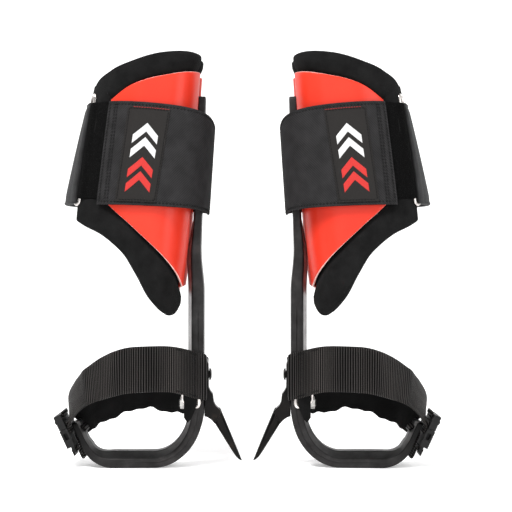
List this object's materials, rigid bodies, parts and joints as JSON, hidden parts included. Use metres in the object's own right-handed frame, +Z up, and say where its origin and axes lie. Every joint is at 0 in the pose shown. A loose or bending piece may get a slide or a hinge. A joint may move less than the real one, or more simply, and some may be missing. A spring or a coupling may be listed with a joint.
{
  "type": "tree climbing spurs",
  "caption": "Pair of tree climbing spurs: forged shanks with stirrups and gaffs, padded red calf cuffs with wrap straps, and buckled ankle straps.",
  "frame": {"origin": "on the ground, midway between the two standing spurs and below the middle of their depth", "axes": "+Z up along the shanks, -Y towards the toes, +X towards the left spur"},
  "size_m": [0.401, 0.1324, 0.4289],
  "materials": {
    "forged_steel": "forged and oil-blackened, satin",
    "black_steel": "blackened, satin with polished edges",
    "fastener": "zinc plated",
    "ring_wire": "polished",
    "sleeve_metal": "black, satin",
    "red_plastic": "satin with a soft highlight",
    "foam_pad": "brushed fabric over foam",
    "loop_fabric": "fuzzy loop pile",
    "strap_fabric": "fine elastic weave",
    "label_fabric": "woven patch with abstract stripes",
    "webbing": "ribbed webbing",
    "heel_fabric": "soft padded fabric",
    "black_plastic": "moulded, satin"
  },
  "bodies": {
    "right_frame": {"right_shank": "forged_steel", "right_gaff": "black_steel", "right_gaff_bolt_upper": "fastener", "right_gaff_bolt_lower": "fastener", "right_gaff_nut_upper": "fastener", "right_gaff_nut_lower": "fastener", "right_ring_bracket": "black_steel", "right_ankle_ring_front": "ring_wire", "right_ankle_ring_rear": "ring_wire", "right_ankle_strap_front": "webbing", "right_ankle_strap_heel": "heel_fabric", "right_buckle_female": "black_plastic", "right_stirrup_loop": "webbing"},
    "right_cuff": {"right_adjuster_sleeve": "sleeve_metal", "right_adjuster_bolt_upper": "fastener", "right_adjuster_bolt_lower": "fastener", "right_cuff_shell": "red_plastic", "right_shell_screw_front": "fastener", "right_shell_screw_rear": "fastener", "right_cuff_pad": "foam_pad", "right_wrap_base": "loop_fabric", "right_wrap_rivet_upper": "fastener", "right_wrap_rivet_lower": "fastener", "right_wrap_ring": "ring_wire", "right_calf_strap": "strap_fabric"},
    "right_flap": {"right_closure_flap": "strap_fabric", "right_flap_label": "label_fabric"},
    "right_buckle": {"right_buckle_male": "black_plastic"},
    "left_frame": {"left_shank": "forged_steel", "left_gaff": "black_steel", "left_gaff_bolt_upper": "fastener", "left_gaff_bolt_lower": "fastener", "left_gaff_nut_upper": "fastener", "left_gaff_nut_lower": "fastener", "left_ring_bracket": "black_steel", "left_ankle_ring_front": "ring_wire", "left_ankle_ring_rear": "ring_wire", "left_ankle_strap_front": "webbing", "left_ankle_strap_heel": "heel_fabric", "left_buckle_female": "black_plastic", "left_stirrup_loop": "webbing"},
    "left_cuff": {"left_adjuster_sleeve": "sleeve_metal", "left_adjuster_bolt_upper": "fastener", "left_adjuster_bolt_lower": "fastener", "left_cuff_shell": "red_plastic", "left_shell_screw_front": "fastener", "left_shell_screw_rear": "fastener", "left_cuff_pad": "foam_pad", "left_wrap_base": "loop_fabric", "left_wrap_rivet_upper": "fastener", "left_wrap_rivet_lower": "fastener", "left_wrap_ring": "ring_wire", "left_calf_strap": "strap_fabric"},
    "left_flap": {"left_closure_flap": "strap_fabric", "left_flap_label": "label_fabric"},
    "left_buckle": {"left_buckle_male": "black_plastic"}
  },
  "joints": [
    {"name": "spurs_apart", "type": "slide", "parent": "right_frame", "child": "left_frame", "axis": [1, 0, 0], "range_m": [0, 0.15]},
    {"name": "right_cuff_height", "type": "slide", "parent": "right_frame", "child": "right_cuff", "axis": [0.0317, 0, 0.9995], "range_m": [-0.02, 0.025]},
    {"name": "right_flap_peel", "type": "hinge", "parent": "right_cuff", "child": "right_flap", "pos_m": [-0.04098, -0.03629, 0.312], "axis": [0.069, 0.0196, 0.9974], "range_deg": [0, 100]},
    {"name": "right_buckle_release", "type": "slide", "parent": "right_frame", "child": "right_buckle", "axis": [-0.4226, 0, 0.9063], "range_m": [0, 0.02]},
    {"name": "left_cuff_height", "type": "slide", "parent": "left_frame", "child": "left_cuff", "axis": [-0.0317, 0, 0.9995], "range_m": [-0.02, 0.025]},
    {"name": "left_flap_peel", "type": "hinge", "parent": "left_cuff", "child": "left_flap", "pos_m": [0.04098, -0.03629, 0.312], "axis": [0.069, -0.0196, -0.9974], "range_deg": [0, 100]},
    {"name": "left_buckle_release", "type": "slide", "parent": "left_frame", "child": "left_buckle", "axis": [0.4226, 0, 0.9063], "range_m": [0, 0.02]}
  ]
}
